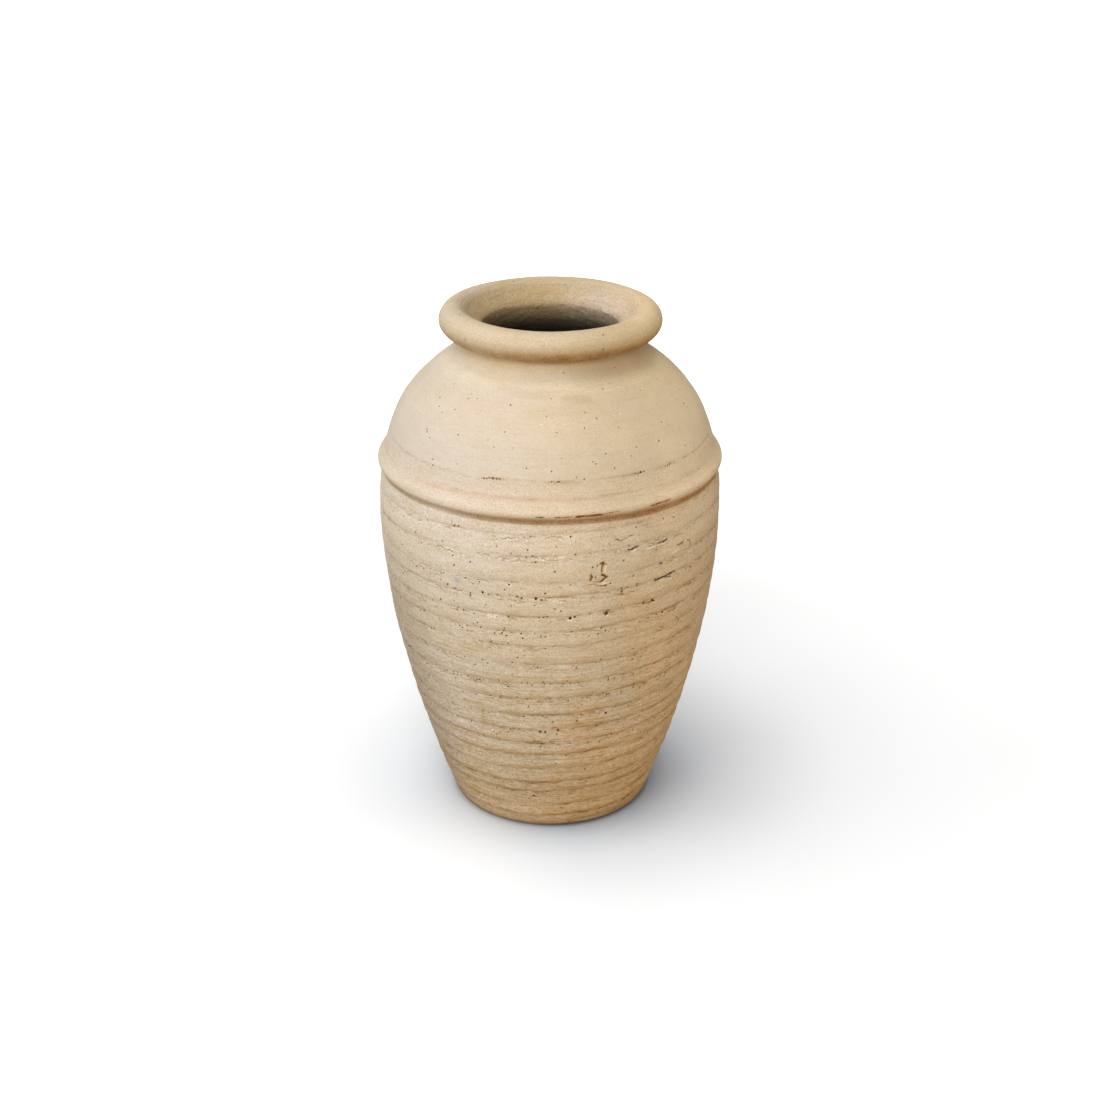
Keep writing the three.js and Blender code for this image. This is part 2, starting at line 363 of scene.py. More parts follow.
# Inside: rings left by the fingers, and how high they stand.
RING_PITCH = 9.0
for name, ring_height in (("inner_neck", 0.12), ("inner_dome", 0.4), ("inner_wall", 0.4)):
    rows = rows_of(name)
    ring = height[rows] / RING_PITCH + turn + 0.25 * noise(90, 14)[rows]
    relief[rows] += ring_height * np.cos(2 * math.pi * ring) * smooth(height[rows], 30, 60)
    relief[rows] += 0.12 * noise(12, 1.5)[rows] + 0.1 * noise(4, 1.5)[rows]
relief[funnel] += inside_lip * (0.08 * noise(14, 1.4)[funnel] + 0.08 * noise(4, 1.4)[funnel])

# Scored line over the belt, broken and pitted, and a fine one between it and the bead.
FINE_LINE = 294


def scored(at_height, depth, width, length, gap, name):
    """A line scored round one part, with gaps about a length long."""
    rows = rows_of(name)
    line = np.exp(-(((height[rows] - at_height) - 0.5 * noise(80, 60)[rows]) / width) ** 2)
    gaps = np.clip(gap + 0.5 * noise(length, 30)[rows] + 0.3 * noise(4, 4)[rows], 0, 1.3)
    relief[rows] -= depth * line * gaps
    hollow[rows] += 0.4 * line * gaps
    pitted[rows] += 0.6 * line


for name in ("belt", "dome"):
    scored(belt_top - 0.3, 0.26, 0.9, 22, 0.4, name)
scored(FINE_LINE, 0.1, 0.8, 50, 0.3, "belt")

# Ochre along the fine line, and painted shade in and below the crease under the bead: less dark on the right, where
# light comes in.
belt = rows_of("belt")
belt_up = height[belt]
ochre_line = 0.24 * np.exp(-(((belt_up - FINE_LINE + 0.5) / 2.4) ** 2))
orange[belt] += ochre_line * np.clip(0.4 + 0.5 * noise(50, 6)[belt], 0, 1)
right = smooth(rightward, 0.1, 0.6)
hollow[belt] += (1 - 0.3 * right) * (1 - smooth(belt_up, seat_height + 2.0, seat_height + 4.8))
shade[belt] += (1 - 0.2 * right) * (1 - smooth(belt_up, seat_height + 2.8, seat_height + 7.0))
hollow[wall] += 0.9 * smooth(wall_up + 0.8 * right, seat_height - 2.4, seat_height - 1.5)
shade[wall] += 0.9 * smooth(wall_up + 0.8 * right, seat_height - 3.2, seat_height - 1.8)

# The crease under the lip, darkened as dirt and as painted shade over the roll's underside and the top of the neck,
# and the neck's flare below, painted paler as a highlight and ochre on the right.
FLARE_START = (352, 358)
FLARE_END = (364, 368)
OCHRE_NECK = (354, 366)
neck = rows_of("neck")
neck_up = height[neck]
from_crease = travel[funnel][:, None] - travel[funnel][0]
lit_side = 1 - 0.6 * smooth(-rightward, 0.2, 0.8) - 0.3 * smooth(rightward, 0.4, 0.8)
hollow[neck] += lit_side * smooth(neck_up, neck_top - 11, neck_top - 7)
hollow[funnel] += 1 - smooth(from_crease, 22.5, 30)
shade[neck] += lit_side * smooth(neck_up, neck_top - 12, neck_top - 8.5)
shade[funnel] += 1 - smooth(from_crease, 24.5, 35.5)
front_right = 0.27 * smooth(rightward, 0.2, 0.7) * smooth(-backward, 0, 0.5)
orange[neck] += front_right * smooth(neck_up, *OCHRE_NECK)
flare = smooth(neck_up, *FLARE_START) * (1 - smooth(neck_up, *FLARE_END))
worn_and_highlight[neck] += 0.8 * flare * smooth(rightward, -0.2, 0.15)

# Marks of the outside. A place is an angle round the vase, -90 at the front and 0 on the right, and a height.
outside = section[: spans["neck"][1]]


def window(centre_degrees, centre_height, reach):
    """Rows and columns of the outside near a place, and their distances from it, round the vase and up."""
    radius = np.interp(centre_height, outside[:, 1], outside[:, 0])
    across = np.radians((degrees - centre_degrees + 180) % 360 - 180) * radius
    up = outside[:, 1] - centre_height
    columns = np.nonzero(np.abs(across) < reach)[0]
    rows = np.nonzero(np.abs(up) < reach)[0]
    return np.ix_(rows, columns), across[None, columns], up[rows, None], radius


def dab(target, place, size, amount, tilt=0.0, dent=0.0):
    """A soft elliptic mark, dented in the middle."""
    patch, across, up, _ = window(*place, 2.5 * max(size))
    slope = math.tan(math.radians(tilt))
    near = np.exp(-((across / size[0]) ** 2 + ((up - slope * across) / size[1]) ** 2))
    target[patch] += amount * near
    relief[patch] -= dent * near


gaps = np.clip(noise(4, 1.6) - 0.2, 0, 1.5)


def stroke(target, width, amount, dent, *places):
    """A ragged mark along a line of places, dented, or raised by a negative dent."""
    places = np.array(places, float)
    centre = places.mean(0)
    reach = 4 * width + 3 * np.abs(places - centre).max()
    patch, across, up, radius = window(*centre, reach)
    line = (places - centre) * (math.radians(radius), 1)
    distance = np.full(np.broadcast_shapes(across.shape, up.shape), 1e3)
    for (ax, ay), (bx, by) in zip(line, line[1:]):
        long = max((bx - ax) ** 2 + (by - ay) ** 2, 1e-9)
        t = np.clip(((across - ax) * (bx - ax) + (up - ay) * (by - ay)) / long, 0, 1)
        distance = np.minimum(distance, np.hypot(across - ax - t * (bx - ax), up - ay - t * (by - ay)))
    near = np.exp(-((distance / width) ** 2))
    ragged = np.clip(1 - (distance + 0.35 * gaps[patch]) / (2.3 * width), 0, 1)
    target[patch] = np.maximum(target[patch], amount * ragged)
    relief[patch] -= dent * near * np.clip(1.1 - 0.6 * gaps[patch], 0, 1)


def pit(place, radius, amount=1.0, rim=0.0):
    """A round hole, with a raised rim where the clay was pushed up, painted pale below the hole as a highlight."""
    patch, across, up, _ = window(*place, 3 * radius + 2)
    across = across - across.flat[np.abs(across).argmin()]
    up = up - up.flat[np.abs(up).argmin()]
    apart = np.hypot(across, up)
    pits[patch] = np.maximum(pits[patch], amount * np.clip(1 - apart / (2.4 * radius), 0, 1))
    relief[patch] -= 0.45 * radius * np.exp(-((apart / radius) ** 2))
    if rim:
        edge = np.exp(-(((apart - 1.7 * radius) / (0.6 * radius)) ** 2)) * (up < 0.3 * radius)
        lip[patch] += rim * edge
        relief[patch] += 0.15 * rim * edge


# Fingertip scar below the belt: an upright stroke, a heel, a hook and two curved edges.
stroke(brown, 0.55, 0.95, 0.35, (-73.1, 245.9), (-73.3, 242.9), (-73.5, 239.5), (-73.3, 236.2))
stroke(brown, 0.85, 1, 0.55, (-73.4, 236.3), (-72.6, 235.4), (-71.8, 234.2))
stroke(brown, 0.6, 1, 0.35, (-72.2, 233.8), (-73.2, 232.2), (-74.1, 230.9), (-75.2, 232))
stroke(brown, 0.75, 0.95, 0.4, (-77, 237.5), (-76.7, 235.6), (-77.2, 233.4))
stroke(brown, 0.5, 0.9, 0.25, (-76.3, 231.6), (-76, 230.4), (-75, 228.8), (-73.5, 227.7), (-71.8, 227.8))
stroke(brown, 0.5, 0.85, 0.2, (-74.1, 244.7), (-73.1, 246.2), (-72.1, 244))
stroke(lip, 0.7, 0.8, -0.15, (-75.4, 229.9), (-73.8, 229.2), (-72.2, 229.4))
stroke(lip, 0.6, 0.6, -0.1, (-72.2, 242), (-72.3, 238.5))
for place in ((-76.5, 242.9), (-75.2, 244.4), (-75.5, 235.3)):
    pit(place, 0.6, 0.9)

# Burnt gouges and dashes of the right side, with painted highlights along the raised lower rims of the gouges.
stroke(grey, 0.65, 1, 0.7, (-53.8, 223), (-50.7, 223.6), (-47.9, 224.4), (-45.2, 225))
stroke(grey, 0.5, 0.95, 0.3, (-49.6, 222.3), (-47, 221.6), (-44.8, 222.6))
stroke(grey, 1.3, 0.4, 0.3, (-48.6, 223.2), (-46.6, 223.4))
stroke(lip, 0.5, 0.9, -0.25, (-52, 221.6), (-49.6, 221.4), (-47, 220.6), (-45, 221.4))
stroke(lip, 0.45, 0.8, -0.2, (-63.6, 250.8), (-61.6, 251.4))
stroke(lip, 0.45, 0.8, -0.2, (-57.4, 249.9), (-54, 250.2), (-50.4, 250.4))
stroke(lip, 0.45, 0.8, -0.2, (-47.6, 240.2), (-45.4, 240.9), (-43.6, 241))
stroke(grey, 0.6, 1, 0.45, (-64.5, 252.3), (-63.2, 252.1), (-62, 253.2), (-60.7, 253.5))
stroke(grey, 0.55, 0.8, 0.25, (-69, 262.6), (-68.2, 261.6), (-67.3, 260.3))
stroke(grey, 0.45, 0.7, 0.15, (-67, 260.4), (-65.8, 261.4), (-64.1, 262.4), (-62.4, 263.4))
stroke(grey, 0.5, 0.85, 0.3, (-60, 207), (-56.5, 206.6), (-53.6, 206.3))
stroke(grey, 0.45, 0.65, 0.2, (-51.2, 205.1), (-47.1, 204.8))
stroke(grey, 0.5, 0.65, 0.25, (-56.8, 251.6), (-54, 251.8), (-51, 251.8), (-48.8, 253.4))
stroke(brown, 0.5, 0.85, 0.3, (-44.4, 245.2), (-43, 244.6), (-41.4, 245.4))
stroke(brown, 0.5, 0.7, 0.2, (-39.4, 245.2), (-38.2, 244.6), (-37.5, 241.6), (-37.7, 238.2))
stroke(grey, 1.2, 0.3, 0, (-37.7, 207.4), (-34.9, 208.4))
pit((-58.1, 206.8), 0.7)
pit((-54.6, 206.8), 0.9)
pit((-51.6, 234.6), 0.8)
pit((-33.5, 208.9), 0.7)
pit((-49.5, 193.9), 0.8, rim=0.9)
pit((-71.3, 204.9), 1, rim=0.7)
stroke(brown, 0.55, 0.9, 0.3, (-72.4, 205.2), (-70.7, 206.9))

# Pale scratches and skins of slip, and thin dark lines beside them.
stroke(lip, 0.5, 0.9, -0.2, (-110.5, 203), (-109, 204.4), (-107.3, 203.7), (-108.1, 201.6), (-109.9, 201.1))
stroke(lip, 0.5, 0.8, -0.15, (-93.6, 250.4), (-91.1, 250.3))
stroke(lip, 0.5, 0.9, -0.15, (-88.5, 251), (-85.4, 252.5))
stroke(lip, 0.55, 0.9, -0.2, (-90.8, 218.3), (-86.5, 217.5))
stroke(brown, 0.45, 0.58, 0.2, (-91.6, 220.2), (-87.3, 220.9), (-82.7, 221.2))
stroke(brown, 0.45, 0.6, 0.15, (-69, 219.4), (-66.8, 218.8), (-63.5, 217.8))
stroke(lip, 0.45, 0.7, 0.15, (-126, 249.9), (-122.2, 249.4))
stroke(lip, 0.45, 0.7, 0.15, (-119.2, 248.1), (-117.7, 245.7))
for place in ((-114, 97.3), (-92.5, 128), (-101, 76.5), (-83, 93.5)):
    stroke(lip, 0.6, 0.8, -0.15, place, (place[0] + 1.6, place[1] + 0.3))

# Soft smoky smudges.
for place, size, amount in (
    ((-54, 247.8), (5, 2.4), 0.36),
    ((-50.2, 251.8), (6, 2), 0.3),
    ((-56.1, 242.6), (4, 3), 0.26),
    ((-42.2, 233.5), (5, 3), 0.2),
    ((-36.5, 208), (4, 2), 0.3),
    ((-52, 236), (16, 12), 0.1),
):
    dab(grey, place, size, amount)
dab(smoke, (-121, 225.5), (3.4, 1.7), 1, tilt=-6)

# Pits with torn rims, rust stains and short dashes on the front, from below the belt down to the foot.
pit((-103.2, 229.9), 0.65, rim=1)
pit((-83.5, 203.2), 0.95, rim=0.8)
pit((-82.2, 204.9), 0.65)
pit((-94, 101.3), 0.8, rim=0.5)
pit((-92.1, 101.2), 0.75, rim=0.5)
pit((-87, 102.5), 0.9, 0.9)
dab(orange, (-88.4, 103.2), (2, 1.8), 0.8, dent=0.3)
stroke(brown, 0.5, 0.7, 0, (-89.6, 105), (-88, 105.6), (-86.8, 104.2))
pit((-68.3, 115.4), 0.8)
pit((-98.4, 33.4), 0.8, rim=0.4)
dab(orange, (-79, 179), (5.5, 3.2), 0.35)
dab(orange, (-76, 172), (16, 9), 0.12)
dab(orange, (-81.4, 159.4), (3.2, 2), 0.25)
for places in (
    ((-96.8, 91.9), (-94.4, 91.6)),
    ((-94, 88.9), (-91.8, 89.6)),
    ((-88.8, 89.4), (-85.6, 88.6)),
    ((-94.8, 130.2), (-92.4, 129.5)),
):
    stroke(brown, 0.5, 0.75, 0.2, *places)

# Waves of ochre under the neck, and a pale ring on the shoulder.
for places in (
    ((-116.4, 359.1), (-106, 358), (-97.2, 357.7), (-84, 358.7)),
    ((-83.4, 355.8), (-77, 354.6), (-71.5, 353.8)),
):
    stroke(shade, 1.6, 0.4, 0.1, *places)
stroke(lip, 0.45, 0.34, -0.06, (-100.4, 341.1), (-85.1, 341), (-69.7, 342.9), (-51.6, 344))

# Burnt dashes under the bead, and dashes of pits on the scored line: start, end and strength.
stroke(grey, 0.55, 0.85, 0.3, (-94.4, 283), (-91.9, 282.8))
stroke(brown, 0.5, 0.65, 0.2, (-88.6, 282.7), (-83, 282.8))
stroke(brown, 0.7, 1, 0.4, (-82, 282.7), (-78, 282.9), (-73.4, 282.8))
stroke(brown, 0.5, 0.7, 0.2, (-73, 283.2), (-68, 283.6))
stroke(brown, 0.6, 0.8, 0.3, (-57.6, 282.6), (-53, 283.2), (-48.6, 283.2))
dab(orange, (-108.5, belt_top - 0.2), (4, 0.9), 0.45)
PITTED_DASHES = ((-112.4, -106.3, 0.9), (-90.4, -86.4, 0.8), (-60, -55.6, 0.75), (-47, -40.4, 0.6))
for start, end, amount in PITTED_DASHES:
    for angle in np.arange(start, end, 0.9):
        pit((angle, belt_top - 0.2 + rng.normal(0, 0.3)), 0.6, amount * rng.uniform(0.6, 1.2))

# Single pits, on the wall and then on the shoulder: angle, height and size.
PITS = (
    (-112.2, 220.7, 1.15), (-94.7, 219.4, 1.2), (-125, 220.8, 0.95), (-121.8, 238, 0.85), (-91.4, 223.9, 0.9),
    (-116, 243.3, 0.75), (-94.5, 248.9, 0.8), (-98.9, 220.1, 0.85), (-100.5, 221, 0.8), (-128.5, 206.4, 0.9),
    (-126.7, 228.9, 0.6), (-118.2, 229.6, 0.65), (-122.1, 218.5, 0.7), (-116.4, 215.9, 0.7), (-119.6, 202.4, 0.7),
    (-103.5, 203.4, 0.75), (-114.6, 194.6, 0.7), (-113.6, 191.3, 0.75), (-99.7, 190.2, 0.7), (-86.6, 209.7, 0.65),
    (-83.1, 192.2, 0.8), (-91.8, 204.7, 0.7), (-93.3, 204.2, 0.6), (-91.6, 188.3, 0.7), (-98.9, 186.8, 0.7),
    (-120.4, 187.3, 0.7), (-118.7, 185.8, 0.7), (-83.6, 267.3, 0.85), (-82.2, 254.3, 0.75), (-95.3, 252.6, 0.65),
    (-106.9, 220.4, 0.65), (-109.9, 219.8, 0.6), (-66.4, 223.4, 0.85), (-64.6, 223.7, 0.7), (-60.8, 224.1, 0.7),
    (-70.4, 228.4, 0.8), (-62.3, 231.7, 0.65), (-65.9, 245.2, 0.75), (-28.2, 209.4, 0.9), (-40.6, 181.5, 0.9),
    (-66.6, 220.4, 0.9), (-98.2, 125.2, 0.7), (-80.2, 111.7, 0.75), (-88.9, 111.6, 0.7), (-69.2, 132.2, 0.9),
    (-68.1, 132.3, 0.8), (-74.6, 60.5, 0.8), (-82.5, 77.4, 0.6), (-122, 268.4, 0.8), (-120.6, 268, 0.8),
    (-143.1, 354.7, 0.7), (-125.1, 351.4, 0.65), (-133, 342.4, 0.7), (-138.7, 338.1, 0.6), (-107.3, 335.5, 0.75),
    (-89.4, 355.3, 0.6), (-91.6, 345.9, 0.5), (-75.2, 347.3, 0.7), (-110.3, 325.6, 0.65), (-138.9, 321.5, 0.6),
    (-98.1, 314.7, 0.8), (-89.7, 313.1, 0.9), (-123.4, 311.2, 0.6), (-47.2, 322.5, 1.1), (-57.4, 322.3, 0.8),
    (-70, 321.9, 0.85), (-60.5, 318, 0.6), (-62.5, 336.1, 0.6), (-41.9, 332.7, 0.7), (-74, 315.9, 0.8),
    (-67.6, 312.1, 0.9), (-81.1, 308.3, 0.8), (-78.3, 306.5, 0.9), (-16.2, 342.5, 0.8), (-43, 352.8, 0.6),
)
# A pit's hole as a share of its size, its strength and its rim.
WALL_PIT = (0.72, 1.0, 0.35)
DOME_PIT = (0.6, 0.8, 0.3)
for angle, at, size in PITS:
    hole, amount, rim = WALL_PIT if at < belt_top else DOME_PIT
    pit((angle, at), hole * size, amount, rim)

# Smaller pits strewn about, most of them along the upper turns of the groove.
WALL_PITS = 640
ALONG_GROOVE = 0.8
DOME_PITS = 30
for _ in range(WALL_PITS):
    angle = rng.uniform(-180, 180)
    if rng.random() < ALONG_GROOVE:
        number = min(rng.integers(7, 20), rng.integers(11, 20))
        place = (angle + 90) / 360 % 1
        at = np.interp(number + place, turns, GROOVE_HEIGHTS) + GROOVE_TILT * math.sin(2 * math.pi * place)
        at += rng.normal(-0.8, 1.8)
    else:
        at = rng.uniform(20, 275)
    if floor_top + 4 < at < seat_height - 4:
        pit((angle, at), rng.uniform(0.45, 0.6), rng.uniform(0.7, 1.0), rim=0.3 * rng.random())
for _ in range(DOME_PITS):
    place = (rng.uniform(-180, 180), belt_top + 51 * rng.random() ** 1.3)
    pit(place, rng.uniform(0.4, 0.48), rng.uniform(0.55, 0.8))

# The vase as built by hand: a little oval, foot and mouth off the axis, flatter on the left of the waist, and the
# lip lower on the right and in front.
FOOT_SHIFT = 0.6
MOUTH_SHIFT = 0.5
FLAT_SIDE = 0.8
OVAL = (0.25, 0.15)
OVAL_RADIUS = 115
LIP_DROP = (0.35, 0.35, -0.25)
FOOT_LEAN = (20, 190)
reach = section[:, :1] + outward[:, :1] * relief
z = np.maximum(section[:, 1:] + outward[:, 1:] * relief, 0)
lean_foot = 1 - smooth(z, *FOOT_LEAN)
lean_top = smooth(z, 330, 395)
out_of_round = OVAL[0] * np.sin(2 * phi + 0.7) + OVAL[1] * np.sin(3 * phi - 1.1)
oval = 1 + out_of_round * smooth(z, 5, 60) / OVAL_RADIUS
x = reach * rightward * oval + FOOT_SHIFT * lean_foot + MOUTH_SHIFT * lean_top
y = reach * backward * oval
x = x + FLAT_SIDE * smooth(z, 30, 90) * (1 - smooth(z, 190, 235)) * np.clip(-rightward, 0, 1) ** 2
lip_drop = LIP_DROP[0] + LIP_DROP[1] * x / rim_radius + LIP_DROP[2] * y / rim_radius
z = z - lean_top * np.clip(lip_drop, 0, 1)

# Kept within the CAD's box.
SIDE_MARGIN = 0.02
TOP_MARGIN = 0.01
limit = min(cad_box[1][0], -cad_box[0][0], cad_box[1][1], -cad_box[0][1]) / MM
scale = min(1.0, (limit - SIDE_MARGIN) / max(np.abs(x).max(), np.abs(y).max()))
x *= scale
y *= scale
z *= min(1.0, (vase_top - TOP_MARGIN) / z.max())
grid = np.stack((x, y, z), 2)

# Normals of the whole surface, so that shading runs across the joints.
round_way = np.roll(grid, -1, 1) - np.roll(grid, 1, 1)
up_way = np.gradient(grid, travel, axis=0)
normals = np.cross(round_way, up_way)
normals /= np.linalg.norm(normals, axis=2)[:, :, None]


def hidden_ring(radius, at_height):
    """A plain ring of a joint, off the axis like the body there."""
    off_axis = FOOT_SHIFT * (1 - smooth(at_height, *FOOT_LEAN))
    ring = (radius * rightward + off_axis, radius * backward, np.full(COLUMNS, at_height))
    return np.stack(ring, 1) * (scale, scale, 1)


def limited(*three):
    """Three fields as one vector a point, each kept from 0 to 1."""
    return np.stack([np.clip(field, 0, 1) for field in three], 2)


# What the material reads at each point. The wheel is its place on an even cylinder, for marks drawn round it.
WHEEL_RADIUS = 0.11
lip_start, lip_end = travel[spans["lip"][0]], travel[spans["lip"][1]]
into = np.broadcast_to(travel[:, None], SHAPE)
# Depth into the mouth, along which the funnel and the inside are painted darker as shade.
deep = 0.5 * smooth(into, 0.5 * (lip_start + lip_end), lip_end - 8)
deep = deep + 0.5 * smooth(into, lip_end - 9, lip_end + 21)
wheel = (WHEEL_RADIUS * rightward, WHEEL_RADIUS * backward, travel[:, None] * MM)
fields = {
    "wheel": np.stack([np.broadcast_to(way, SHAPE) for way in wheel], 2),
    "zone": np.stack((deep, np.broadcast_to(rough, SHAPE), np.clip(worn_and_highlight, 0, 1)), 2),
    "marks": limited(brown, grey, orange),
    "relief_marks": limited(hollow, lip, pitted),
    "soft_marks": limited(pits, shade, smoke),
}


def make_piece(name, node, slot, surfaces, hidden):
    """A closed body of runs of the section and hidden rings after them. Foot and inner floor end in poles."""
    blank = np.zeros((COLUMNS, 3))
    points, point_normals, shaded = [], [], []
    data = {key: [] for key in fields}
    for part, surface in enumerate(surfaces):
        rows = rows_of(surface)
        points.extend(grid[rows])
        point_normals.extend(normals[rows])
        shaded.extend([part] * len(grid[rows]))
        for key, field in fields.items():
            data[key].extend(field[rows])
        for ring in hidden[part] if part < len(hidden) else ():
            points.append(ring)
            point_normals.append(blank)
            shaded.append(-1 - len(shaded))
            for key, values in data.items():
                values.append(values[-1] if key in ("wheel", "zone") else blank)
    rings = len(points)
    points = np.concatenate(points) * MM
    index = np.arange(rings * COLUMNS).reshape(rings, COLUMNS)
    after = np.roll(index, -1, 1)
    steps = [(ring, ring + 1) for ring in range(rings - 1)]
    poles = "inner_floor" in surfaces
    if not poles:
        steps.append((rings - 1, 0))
    faces = np.concatenate([np.stack((index[a], after[a], after[b], index[b]), 1) for a, b in steps])
    soft = np.concatenate([np.full(COLUMNS, shaded[a] == shaded[b]) for a, b in steps])
    loops = faces.ravel()
    starts = np.arange(len(faces)) * 4
    totals = np.full(len(faces), 4)
    if poles:
        low, high = len(points), len(points) + 1
        middles = [[points[index[row], axis].mean() for axis in range(3)] for row in (0, -1)]
        points = np.concatenate((points, middles))
        point_normals.append([[0, 0, -1.0], [0, 0, 1.0]])
        fan_low = np.stack((after[0], index[0], np.full(COLUMNS, low)), 1)
        fan_high = np.stack((index[-1], after[-1], np.full(COLUMNS, high)), 1)
        fans = np.concatenate((fan_low, fan_high))
        starts = np.concatenate((starts, len(loops) + np.arange(len(fans)) * 3))
        totals = np.concatenate((totals, np.full(len(fans), 3)))
        loops = np.concatenate((loops, fans.ravel()))
        soft = np.concatenate((soft, np.zeros(len(fans), bool)))
        for values in data.values():
            values.append(np.zeros((2, 3)))
    mesh = bpy.data.meshes.new(name)
    mesh.vertices.add(len(points))
    mesh.vertices.foreach_set("co", points.astype(np.float32).ravel())
    mesh.loops.add(len(loops))
    mesh.loops.foreach_set("vertex_index", loops.astype(np.int32))
    mesh.polygons.add(len(starts))
    mesh.polygons.foreach_set("loop_start", starts.astype(np.int32))
    mesh.polygons.foreach_set("use_smooth", np.ones(len(starts), bool))
    mesh.update(calc_edges=True)
    flat = np.zeros(len(starts) * 3, np.float32)
    mesh.polygons.foreach_get("normal", flat)
    face_of = np.repeat(np.arange(len(starts)), totals)
    smooth_normals = np.concatenate(point_normals)[loops]
    loop_normals = np.where(soft[face_of][:, None], smooth_normals, flat.reshape(-1, 3)[face_of])
    for key, values in data.items():
        attribute = mesh.attributes.new(key, "FLOAT_VECTOR", "POINT")
        attribute.data.foreach_set("vector", np.concatenate(values).astype(np.float32).ravel())
    mesh.normals_split_custom_set(loop_normals.astype(np.float32))
    mesh.validate(clean_customdata=False)
    piece = bpy.data.objects.new(name, mesh)
    bpy.context.scene.collection.objects.link(piece)
    mesh.materials.append(clay)
    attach(piece, "root")
    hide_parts(node)


# Camera.
camera_data = bpy.data.cameras.new("camera")
camera_data.lens = CAMERA_LENS
camera_data.sensor_width = SENSOR_WIDTH
camera_data.sensor_fit = "HORIZONTAL"
camera = bpy.data.objects.new("camera", camera_data)
angle = math.radians(CAMERA_ELEVATION)
camera.location = CAMERA_TARGET + CAMERA_DISTANCE * Vector((0, -math.cos(angle), math.sin(angle)))
camera.rotation_euler = (math.pi / 2 - angle, 0, 0)
bpy.context.scene.collection.objects.link(camera)
bpy.context.scene.camera = camera


# Materials.
class Nodes:
    """Short ways to add and join shader nodes."""

    def __init__(self, material):
        material.use_nodes = True
        self.tree = material.node_tree
        self.tree.nodes.clear()

    def add(self, kind, inputs=None, **settings):
        node = self.tree.nodes.new("ShaderNode" + kind)
        for key, value in settings.items():
            setattr(node, key, value)
        for key, value in (inputs or {}).items():
            self.put(node.inputs[key], value)
        return node

    def put(self, socket, value):
        if isinstance(value, bpy.types.NodeSocket):
            self.tree.links.new(value, socket)
        else:
            socket.default_value = value

    def math(self, how, a, b, clamp=False):
        return self.add("Math", {0: a, 1: b}, operation=how, use_clamp=clamp).outputs[0]

    def times(self, a, b, **settings):
        return self.math("MULTIPLY", a, b, **settings)

    def plus(self, a, b):
        return self.math("ADD", a, b)

    def less(self, a, b):
        return self.math("SUBTRACT", a, b)

    def mix(self, share, a, b, how="MIX"):
        return self.add("Mix", {0: share, 6: a, 7: b}, data_type="RGBA", blend_type=how).outputs[2]

    def span(self, value, low, high, to_low=0.0, to_high=1.0, how="SMOOTHSTEP"):
        entries = dict(enumerate((value, low, high, to_low, to_high)))
        return self.add("MapRange", entries, interpolation_type=how).outputs[0]

    def vector(self, how, vector, other):
        return self.add("VectorMath", {0: vector, 1: other}, operation=how).outputs[0]

    def squeezed(self, vector, times):
        """The vector for marks that lie flat round the wheel."""
        return self.vector("MULTIPLY", vector, (1, 1, times))

    def tint(self, colour, share, factors):
        """The colour multiplied by the factors, as far as the share says."""
        if isinstance(factors, tuple):
            factors = (*factors, 1)
        return self.mix(share, colour, self.mix(1.0, colour, factors, "MULTIPLY"))

    def attribute(self, name):
        return self.add("Attribute", attribute_name=name).outputs["Vector"]

    def parts(self, vector):
        return self.add("SeparateXYZ", {"Vector": vector}).outputs

    def ramp(self, share, stops):
        """Colours along a share of 0 to 1, each stop a place and a colour."""
        node = self.add("ValToRGB", {"Fac": share})
        while len(node.color_ramp.elements) < len(stops):
            node.color_ramp.elements.new(1.0)
        for element, (at, colour) in zip(node.color_ramp.elements, stops):
            element.position = at
            element.color = (*colour, 1)
        return node.outputs["Color"]

    def noise(self, vector, scale, detail, rough=0.5):
        inputs = {"Vector": vector, "Scale": scale, "Detail": detail, "Roughness": rough}
        return self.add("TexNoise", inputs).outputs["Fac"]


